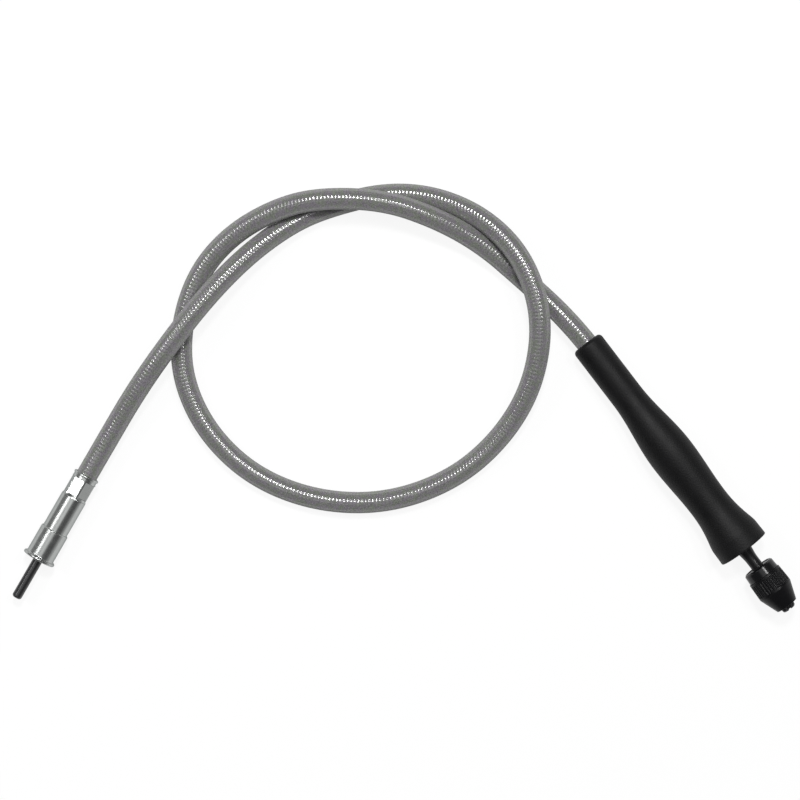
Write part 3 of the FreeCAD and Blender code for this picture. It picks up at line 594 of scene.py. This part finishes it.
def hose_cover(settings, base):
    """Grey cover with a lattice of low bumps, a fine woven grain and a faint mottling.

    The relief is the absolute cosine along the hose times the absolute cosine around it, the second
    carried to between 0.45 and 1. Its bumps are round on top, with a deep crease between one ring
    of bumps and the next, and a shallow one between the bumps of a ring. The gloss fades towards
    the sides, where the bumps hide one another.
    """
    made, tree, shader = material("hose_cover", base, 0.34, Specular_IOR_Level=1.0, IOR=1.55,
                                  Diffuse_Roughness=0.8)
    uv = add(tree, "ShaderNodeUVMap", uv_map="surface").outputs["UV"]
    parts = add(tree, "ShaderNodeSeparateXYZ", {"Vector": uv}).outputs
    along = maths(tree, "COSINE", maths(tree, "MULTIPLY", parts["X"], math.pi / settings.bump_pitch))
    around = maths(tree, "COSINE", maths(tree, "MULTIPLY", parts["Y"], math.pi * settings.bump_rows))
    rows = spread(tree, maths(tree, "ABSOLUTE", around), 0.0, 1.0, 0.45, 1.0)
    bumps = maths(tree, "MULTIPLY", maths(tree, "ABSOLUTE", along), rows)
    grain = add(tree, "ShaderNodeGroup", node_tree=shared(grain_group, "Fine Grain"))
    place = add(tree, "ShaderNodeTexCoord").outputs["Object"]
    tree.links.new(place, grain.inputs["Vector"])
    grain.inputs["Scale"].default_value = 1500.0
    mottle = add(tree, "ShaderNodeTexNoise", {"Vector": place, "Scale": 320.0, "Detail": 3.0})
    hue = mixed(tree, spread(tree, mottle.outputs["Fac"], 0.38, 0.62, 0.0, 1.0),
                (base[0] * 0.97, base[1] * 1.03, base[2] * 0.94, 1),
                (base[0] * 1.04, base[1] * 0.95, base[2] * 1.14, 1))
    tone = spread(tree, grain.outputs["Height"], 0.35, 0.65, 0.72, 1.28)
    shade = add(tree, "ShaderNodeVectorMath", {0: hue, "Scale": tone}, operation="SCALE").outputs["Vector"]
    tree.links.new(shade, shader.inputs["Base Color"])
    facing = add(tree, "ShaderNodeLayerWeight", {"Blend": 0.5}).outputs["Facing"]
    gloss = maths(tree, "MAXIMUM", spread(tree, bumps, 0.1, 0.5, 0.26, 0.15),
                  spread(tree, facing, 0.25, 0.60, 0.15, 0.62))
    tree.links.new(gloss, shader.inputs["Roughness"])
    woven = add(tree, "ShaderNodeBump", {"Height": grain.outputs["Height"], "Distance": 0.001 * MM})
    raised = bump(tree, shader, bumps, settings.bump_height)
    tree.links.new(woven.outputs["Normal"], raised.inputs["Normal"])
    return made


# Pieces

class FLEXSHAFT_OT_stage(bpy.types.Operator):
    """Camera straight above, pale floor, soft sky and lamps"""
    bl_idname = "flexshaft.stage"
    bl_label = "Make Stage"

    def execute(self, context):
        settings = context.scene.flexshaft_stage
        scene = context.scene
        scene.view_settings.view_transform = "Standard"
        camera = bpy.data.objects.new("camera", bpy.data.cameras.new("camera"))
        camera.data.sensor_width = SENSOR
        camera.data.lens = SENSOR / 2 / math.tan(FIELD_OF_VIEW / 2)
        camera.data.clip_end = 20.0
        camera.location = (*VIEW_CENTRE, settings.camera_height)
        scene.collection.objects.link(camera)
        scene.camera = camera
        self.floor(scene)
        self.sky(scene, settings)
        for name, place, width, height, power in LAMPS:
            self.lamp(scene, name, place, width, height, getattr(settings, power))
        return {"FINISHED"}

    def floor(self, scene):
        mesh = bpy.data.meshes.new("floor")
        half = FLOOR_HALF
        mesh.from_pydata([(-half, -half, 0), (half, -half, 0), (half, half, 0), (-half, half, 0)], [],
                         [(0, 1, 2, 3)])
        floor = bpy.data.objects.new("floor", mesh)
        scene.collection.objects.link(floor)
        made, tree, shader = material("pale_floor", scene.flexshaft_finish.floor, 0.8)
        path = add(tree, "ShaderNodeLightPath").outputs
        glossy = maths(tree, "MULTIPLY", path["Is Glossy Ray"], FLOOR_IN_GLOSS)
        seen = maths(tree, "MAXIMUM", maths(tree, "MAXIMUM", path["Is Camera Ray"], glossy),
                     path["Is Transmission Ray"])
        white = add(tree, "ShaderNodeEmission", {"Color": (1, 1, 1, 1), "Strength": FLOOR_WHITE})
        share = maths(tree, "MULTIPLY", seen, FLOOR_WHITE_SHARE)
        blend = add(tree, "ShaderNodeMixShader", {0: share, 1: shader.outputs["BSDF"],
                                                  2: white.outputs["Emission"]})
        tree.links.new(blend.outputs["Shader"], tree.nodes["Material Output"].inputs["Surface"])
        mesh.materials.append(made)

    def sky(self, scene, settings):
        """Even soft light, with a glow low on the right, a weaker one low on the left, one overhead."""
        world = bpy.data.worlds.new("soft_sky")
        world.use_nodes = True
        scene.world = world
        tree = world.node_tree
        direction = add(tree, "ShaderNodeTexCoord").outputs["Generated"]
        height = add(tree, "ShaderNodeSeparateXYZ", {"Vector": direction}).outputs["Z"]
        side = add(tree, "ShaderNodeVectorMath", {0: direction, 1: SKY_SIDE},
                   operation="DOT_PRODUCT").outputs["Value"]
        low_right = spread(tree, maths(tree, "SUBTRACT", side, maths(tree, "MULTIPLY", height, 2.0)),
                           -0.1, 0.8, 0.0, 0.45)
        low_left = spread(tree, maths(tree, "SUBTRACT", maths(tree, "MULTIPLY", side, -1.0), height),
                          0.0, 1.0, 0.0, 0.2)
        overhead = spread(tree, height, 0.93, 0.99, 0.0, 0.9)
        glow = maths(tree, "ADD", maths(tree, "ADD", low_right, low_left), overhead)
        strength = maths(tree, "ADD", glow, settings.sky)
        tree.links.new(strength, tree.nodes["Background"].inputs["Strength"])
        tree.nodes["Background"].inputs["Color"].default_value = (1, 1, 1, 1)

    def lamp(self, scene, name, place, width, height, power):
        lamp = bpy.data.lights.new(name, "AREA")
        lamp.shape = "RECTANGLE"
        lamp.size, lamp.size_y, lamp.energy = width, height, power
        holder = bpy.data.objects.new(name, lamp)
        holder.location = place
        aim = np.array(LAMP_AIM) - np.array(place)
        holder.rotation_euler = (math.acos(-aim[2] / np.linalg.norm(aim)), 0,
                                 math.pi - math.atan2(aim[0], -aim[1]))
        scene.collection.objects.link(holder)


class FLEXSHAFT_OT_hose(bpy.types.Operator):
    """Braided hose in its loose loop, which stands for its sheath, wound liner and core"""
    bl_idname = "flexshaft.hose"
    bl_label = "Make Hose"

    def execute(self, context):
        settings = context.scene.flexshaft_hose
        path = hose_line(context)
        in_ferrule = on_drive(np.array([[HOSE_IN_FERRULE, 0, 0]]))
        in_grip = on_grip(np.array([[2.0 * MM, 0, 0], [HOSE_IN_GRIP, 0, 0]]))
        path = np.concatenate([in_ferrule, path, in_grip])
        hose = carried("braided_hose", path, settings.diameter, HOSE_SIDES, settings.twist)
        cover = hose_cover(settings, context.scene.flexshaft_finish.hose)
        finish_piece(hose, "frame", "hose_cover", cover, "hose_sheath", "hose_liner", "drive_core")
        return {"FINISHED"}


def hose_line(context):
    """Points of the smooth spline that the route's points draw, from mouth to grip."""
    route = [on_drive(np.zeros(3)), on_drive(np.array([-DRIVE_STRAIGHT, 0, 0]))]
    route += [np.array(p) * MM for p in ROUTE]
    route += [on_grip(np.array([-GRIP_STRAIGHT, -0.6 * MM, 0])), on_grip(np.zeros(3))]
    curve = bpy.data.curves.new("hose_line", "CURVE")
    curve.dimensions = "3D"
    curve.resolution_u = 50
    spline = curve.splines.new("NURBS")
    spline.points.add(len(route) - 1)
    spline.points.foreach_set("co", np.column_stack([route, np.ones(len(route))]).ravel())
    spline.order_u = 3
    spline.use_endpoint_u = True
    line = bpy.data.objects.new("hose_line", curve)
    context.scene.collection.objects.link(line)
    context.view_layer.update()
    mesh = bpy.data.meshes.new_from_object(line)
    points = np.empty(len(mesh.vertices) * 3)
    mesh.vertices.foreach_get("co", points)
    bpy.data.meshes.remove(mesh)
    bpy.data.objects.remove(line)
    bpy.data.curves.remove(curve)
    return points.reshape(-1, 3)


class FLEXSHAFT_OT_fitting(bpy.types.Operator):
    """Plated ferrule, sleeve with its flange, and the black drive pin"""
    bl_idname = "flexshaft.fitting"
    bl_label = "Make Drive Fitting"

    def execute(self, context):
        settings = context.scene.flexshaft_fitting
        finish = context.scene.flexshaft_finish
        zinc = metal("zinc_plate", finish.zinc, 0.25, 1.0, 9000.0, worn=(0.62, 0.62, 0.62), amount=0.25,
                     Specular_Tint=(0.46, 0.48, 0.48, 1))
        oxide = metal("black_oxide", finish.oxide, 0.30, 0.0, 9000.0, worn=(0.08, 0.08, 0.08), amount=0.5,
                      Specular_IOR_Level=0.9)
        finish_piece(self.ferrule(settings), "frame", "zinc_plate", zinc, "hose_ferrule")
        finish_piece(self.sleeve(settings), "frame", "zinc_plate", zinc, "drive_sleeve")
        finish_piece(self.pin(settings), "drive_spindle", "black_oxide", oxide, "drive_spindle")
        return {"FINISHED"}

    def ferrule(self, settings):
        """The turned outline, cut back to a hexagon over the flats and eased out of it by a cone."""
        outer = settings.diameter / MM / 2
        flat = settings.across_flats / MM / 2
        outline = profile([(0, HOSE_SEAT_R), (0, outer, 0.5), (LIP_END, outer, 0.5),
                           (LIP_END, NECK_R, 0.08), (NECK_END, NECK_R, 0.08), (NECK_END, outer, 0.1),
                           (HEX_END, outer, 0), (RUN_OUT_END, outer, 0), (FERRULE_END, outer, 0.1),
                           (FERRULE_END, SPIGOT_R, 0.1), (SPIGOT_END, SPIGOT_R, 0.2), (SPIGOT_END, 5.1),
                           (32, 4.3), (32, 2.8), (30, 2.8), (30, 4.75), (3.0, 4.75),
                           (3.0, HOSE_SEAT_R, 0.1)])
        sector = np.radians([-30, -27.6, -26.3, -26.0, -25, -20, -10, 0, 10, 20, 25, 26.0, 26.3, 27.6])
        angles = (HEX_LEAN + sector[None, :] + np.radians(60) * np.arange(6)[:, None]).ravel()

        def radius(along, reach, angle):
            offset = (angle - HEX_LEAN + math.radians(30)) % math.radians(60) - math.radians(30)
            hexagon = np.minimum(flat * MM / np.cos(offset), (outer - LAND_DEPTH) * MM)
            cone = (flat + (along / MM - HEX_END) * (outer - flat) / (RUN_OUT_END - HEX_END)) * MM
            cut = np.maximum(hexagon, np.minimum(cone, outer * MM))
            outside = reach > (NECK_R + 0.1) * MM
            flats = (along > (NECK_END + 0.05) * MM) & (along < RUN_OUT_END * MM) & outside
            return np.where(flats, np.minimum(reach, np.where(along < HEX_END * MM, hexagon, cut)), reach)

        line, edge = outline
        extra = np.linspace(HEX_END + 0.1, RUN_OUT_END - 0.1, 10) * MM
        at = int(np.argmax(line[:, 0] > extra[0]))
        line = np.insert(line, at, np.column_stack([extra, np.full(10, outer * MM)]), 0)
        edge = np.insert(edge, at, np.zeros(10))
        return lathe("plated_ferrule", (line, edge), on_drive, angles, radius=radius)

    def sleeve(self, settings):
        outer = settings.sleeve_diameter / MM / 2
        flange = settings.flange_diameter / MM / 2
        flange_at = SLEEVE_END - FLANGE_THICK
        bore = SPIGOT_R + 0.05
        outline = profile([(FERRULE_END, bore), (FERRULE_END, outer - 0.4, 0.08),
                           (FERRULE_END + 0.4, outer, 0.2), (flange_at, outer, 0.9),
                           (flange_at, flange, 0.8), (SLEEVE_END, flange, 0.8), (SLEEVE_END, 4.3),
                           (57.0, 4.3), (57.0, 5.55), (48.8, 5.55), (48.8, bore)])
        return lathe("plated_sleeve", outline, on_drive, 160)

    def pin(self, settings):
        pin = settings.pin_diameter / MM / 2
        outline = profile([(36.6, 0), (36.6, 4.0), (44.7, 4.0), (44.7, 4.8), (47.6, 4.8),
                           (47.6, 4.0), (57.85, 4.0), (57.85, pin, 0.1), (PIN_END, pin, 1.5),
                           (PIN_END, 0)], closed=False)
        return lathe("drive_pin", outline, on_drive, 96, closed=False)


class FLEXSHAFT_OT_grip(bpy.types.Operator):
    """Moulded grip and the cap in its front"""
    bl_idname = "flexshaft.grip"
    bl_label = "Make Grip"

    def execute(self, context):
        settings = context.scene.flexshaft_grip
        finish = context.scene.flexshaft_finish
        black = plastic("grip_plastic", finish.grip, 0.54, 1050.0, 0.14 * MM, Specular_IOR_Level=0.26)
        cap_black = plastic("cap_plastic", finish.grip, 0.50, 1050.0, 0.06 * MM, Specular_IOR_Level=0.27)
        finish_piece(self.grip(settings), "frame", "grip_plastic", black, "grip")
        finish_piece(self.cap(settings), "frame", "cap_plastic", cap_black, "front_cap")
        return {"FINISHED"}

    def grip(self, settings):
        """Slim behind, a bulge for the palm, a waist for the fingers, a wide front, and its bores."""
        long = settings.length / MM
        diameters = (settings.rear_diameter, settings.bulge_diameter, settings.waist_diameter,
                     settings.front_diameter)
        rear, bulge, waist, front = [d / MM / 2 for d in diameters]
        outline = profile([(0, 6.8, 0.3), (0, rear, 2.7), (SWELL_START, rear, 0, (0.36, 0.36)),
                           (BULGE_AT, bulge, 0, (0.36, 0.36)), (WAIST_AT, waist, 0, (0.56, 0.17)),
                           (long - SHOULDER_LENGTH, front - 0.2, 0), (long, front, 0.6),
                           (long, 12.95), (CAP_AT, 12.95), (CAP_AT, 10.9), (62, 10.9), (62, 8.2),
                           (13, 8.2), (13, 6.8)])
        return lathe("moulded_grip", outline, on_grip, 192)

    def cap(self, settings):
        long = settings.length / MM
        outline = profile([(CAP_AT, 8.55), (CAP_AT, 12.9), (long, 12.9, 0.3), (long + 0.8, 8.0, 8),
                           (long + 0.8, 5.0, 0.2), (152.6, 5.0), (152.6, 8.55)])
        return lathe("grip_cap", outline, on_grip, 128)


class FLEXSHAFT_OT_spindle(bpy.types.Operator):
    """Black spindle whose flared stem joins the grip and the chuck"""
    bl_idname = "flexshaft.spindle"
    bl_label = "Make Spindle"

    def execute(self, context):
        finish = context.scene.flexshaft_finish
        stem = metal("stem_black", finish.oxide, 0.26, 0.0, 9000.0, worn=(0.08, 0.08, 0.08), amount=0.5,
                     Specular_IOR_Level=0.35)
        outline = profile([(80, 0), (80, 2.5), (84, 2.5, 0.1), (84, 3.45), (146.7, 3.45, 0.1),
                           (146.7, 4.7), (GRIP_LENGTH, 4.7, 0, (0.25, 0.45)),
                           (STEM_FLARE_END, 3.8, 0), (STEM_END, 3.8), (STEM_END, 3.15),
                           (NOSE_END, 3.15), (NOSE_END, 0)], closed=False)
        piece = lathe("flared_stem", outline, on_grip, 96, closed=False)
        finish_piece(piece, "hand_spindle", "black_oxide", stem, "spindle")
        return {"FINISHED"}


class FLEXSHAFT_OT_chuck(bpy.types.Operator):
    """Smooth collar and ribbed sleeve of the keyless chuck"""
    bl_idname = "flexshaft.chuck"
    bl_label = "Make Chuck"

    def execute(self, context):
        settings = context.scene.flexshaft_chuck
        finish = context.scene.flexshaft_finish
        gloss = metal("chuck_gloss", finish.chuck, 0.20, 0.0, 9000.0, worn=(0.06, 0.06, 0.06), amount=0.5,
                      Specular_IOR_Level=0.4)
        satin = metal("chuck_satin", finish.chuck, 0.32, 0.0, 9000.0, worn=(0.04, 0.04, 0.04), amount=0.4,
                      Specular_IOR_Level=0.2)
        finish_piece(self.collar(), "hand_spindle", "chuck_black", gloss, "chuck_collar")
        finish_piece(self.sleeve(settings), "chuck_sleeve", "chuck_black", satin, "chuck_sleeve")
        return {"FINISHED"}

    def collar(self):
        outline = profile([(0, 8.05), (0, 8.95, 0.1), (0.9, 9.85, 0.2), (COLLAR_END, 10.15, 0.25),
                           (COLLAR_END, 8.05)])
        return lathe("chuck_rear_collar", outline, on_chuck, 128)

    def sleeve(self, settings):
        """The turned outline, less a round groove between each rib and the next."""
        wide = settings.sleeve_diameter / MM / 2
        rear, front = wide - 0.33, wide - 0.04
        outline = profile([(CHUCK_SLEEVE_START, 9.4, 0.1), (CHUCK_SLEEVE_START, wide - 0.35, 0.3),
                           (RIBS_START - RIB_STEP, rear, 0), (RIBS_START + RIB_STEP, rear, 0),
                           (RIBS_END - RIB_STEP, front, 0), (RIBS_END + RIB_STEP, front, 0),
                           (CONE_START, wide, 0.3), (CHUCK_END, 6.9, 0.15), (CHUCK_END, 6.15, 0.1),
                           (NUT_SEAT_AT, 8.3, 0.1), (NUT_SEAT_AT, 9.4, 0.1)])
        cutter = RIB_CUTTER_R * MM
        lift = cutter - settings.rib_depth

        def radius(along, reach, angle):
            step = FULL_TURN / settings.ribs
            aside = ((angle + step / 2) % step - step / 2) * reach
            depth = np.sqrt(np.maximum(cutter ** 2 - aside ** 2, 0)) - lift
            outside = reach > 10 * MM
            ribbed = (along > RIBS_START * MM) & (along < RIBS_END * MM) & outside
            return reach - np.where(ribbed, np.maximum(depth, 0), 0)

        return lathe("ribbed_sleeve", outline, on_chuck, settings.ribs * 14, radius=radius)


class FLEXSHAFT_OT_inner_parts(bpy.types.Operator):
    """Finishes of the CAD pieces that stay: jaws, chuck body, bearings and other inner pieces"""
    bl_idname = "flexshaft.inner_parts"
    bl_label = "Finish Inner Parts"

    def execute(self, context):
        finishes = {
            "jaw_steel": node_steel("jaw_steel", (0.045, 0.045, 0.048), 0.32, 0.6),
            "bright_steel": node_steel("bright_steel", (0.62, 0.62, 0.63), 0.25, 1.0),
            "ball_steel": node_steel("ball_steel", (0.80, 0.80, 0.80), 0.08, 1.0),
            "bronze": node_steel("bronze", (0.62, 0.42, 0.20), 0.32, 1.0),
            "seal_rubber": plastic("seal_rubber", (0.03, 0.03, 0.03), 0.7, 3000.0, 0.01 * MM),
            "cage_nylon": plastic("cage_nylon", (0.75, 0.72, 0.60), 0.45, 3000.0, 0.01 * MM),
        }
        for part in frame["record"]["subparts"]:
            node = frame["nodes"][part["node"]]
            made = finishes.get(part["material_slot"])
            if made and not node.hide_render:
                node.data.materials.clear()
                node.data.materials.append(made)
        return {"FINISHED"}


class FLEXSHAFT_PT_panel(bpy.types.Panel):
    """Lists the pieces in the order in which they are built"""
    bl_idname = "FLEXSHAFT_PT_panel"
    bl_label = "Flexible Shaft"
    bl_space_type = "VIEW_3D"
    bl_region_type = "UI"
    bl_category = "Flexible Shaft"

    def draw(self, context):
        for name, properties in SETTINGS.items():
            box = self.layout.box()
            box.label(text=properties.__doc__)
            holder = getattr(context.scene, name)
            for key in properties.__annotations__:
                box.prop(holder, key)
        for operator in OPERATORS:
            self.layout.operator(operator.bl_idname)


SETTINGS = {"flexshaft_hose": HoseSettings, "flexshaft_fitting": FittingSettings,
            "flexshaft_grip": GripSettings, "flexshaft_chuck": ChuckSettings,
            "flexshaft_finish": FinishSettings, "flexshaft_stage": StageSettings}
OPERATORS = [FLEXSHAFT_OT_stage, FLEXSHAFT_OT_hose, FLEXSHAFT_OT_fitting, FLEXSHAFT_OT_grip,
             FLEXSHAFT_OT_spindle, FLEXSHAFT_OT_chuck, FLEXSHAFT_OT_inner_parts]


def register():
    for name, properties in SETTINGS.items():
        bpy.utils.register_class(properties)
        setattr(bpy.types.Scene, name, PointerProperty(type=properties))
    for cls in OPERATORS + [FLEXSHAFT_PT_panel]:
        bpy.utils.register_class(cls)


def unregister():
    for cls in reversed(OPERATORS + [FLEXSHAFT_PT_panel]):
        bpy.utils.unregister_class(cls)
    for name, properties in SETTINGS.items():
        delattr(bpy.types.Scene, name)
        bpy.utils.unregister_class(properties)


def main():
    register()
    bpy.ops.flexshaft.stage()
    bpy.ops.flexshaft.hose()
    bpy.ops.flexshaft.fitting()
    bpy.ops.flexshaft.grip()
    bpy.ops.flexshaft.spindle()
    bpy.ops.flexshaft.chuck()
    bpy.ops.flexshaft.inner_parts()


if __name__ == "__main__":
    main()
